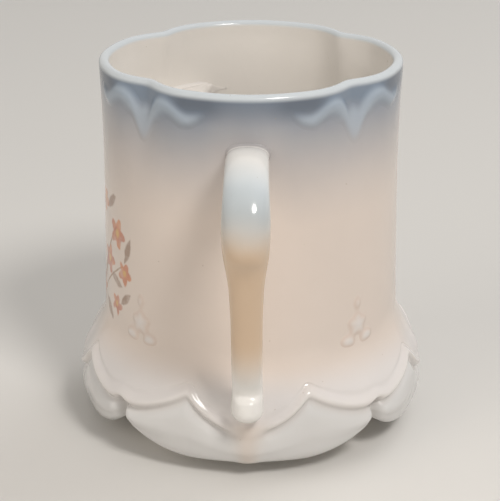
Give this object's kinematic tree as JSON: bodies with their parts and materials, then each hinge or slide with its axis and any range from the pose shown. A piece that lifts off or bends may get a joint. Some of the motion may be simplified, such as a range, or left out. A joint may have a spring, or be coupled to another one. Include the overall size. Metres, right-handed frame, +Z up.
{
  "type": "mustache cup",
  "caption": "Porcelain mustache cup: lobed barrel on a scalloped flared base, with a slotted ledge inside the mouth that keeps a moustache dry, and a scroll handle.",
  "frame": {"origin": "on the table, at the middle of the foot ring's flat face", "axes": "+Z up, the handle points to -Y, the moustache ledge lies on the -X side"},
  "size_m": [0.085, 0.1082, 0.091],
  "materials": {
    "wall_glaze": "glossy, blue-grey airbrushed band under the rim",
    "base_glaze": "glossy, blue-white lower tier",
    "inner_glaze": "glossy",
    "bare_foot": "unglazed, matt",
    "ledge_glaze": "glossy",
    "handle_glaze": "glossy, pale blue tint over the upper scroll",
    "relief_glaze": "glossy, pale blue tint"
  },
  "bodies": {
    "root": {"cup_wall": "wall_glaze", "base_skirt": "base_glaze", "cup_floor": "inner_glaze", "foot_ring": "bare_foot", "moustache_ledge": "ledge_glaze", "ledge_seam": "ledge_glaze", "handle": "handle_glaze", "handle_upper_joint": "handle_glaze", "handle_lower_joint": "handle_glaze", "rim_scrolls": "relief_glaze", "corner_sprigs": "relief_glaze"}
  },
  "joints": []
}
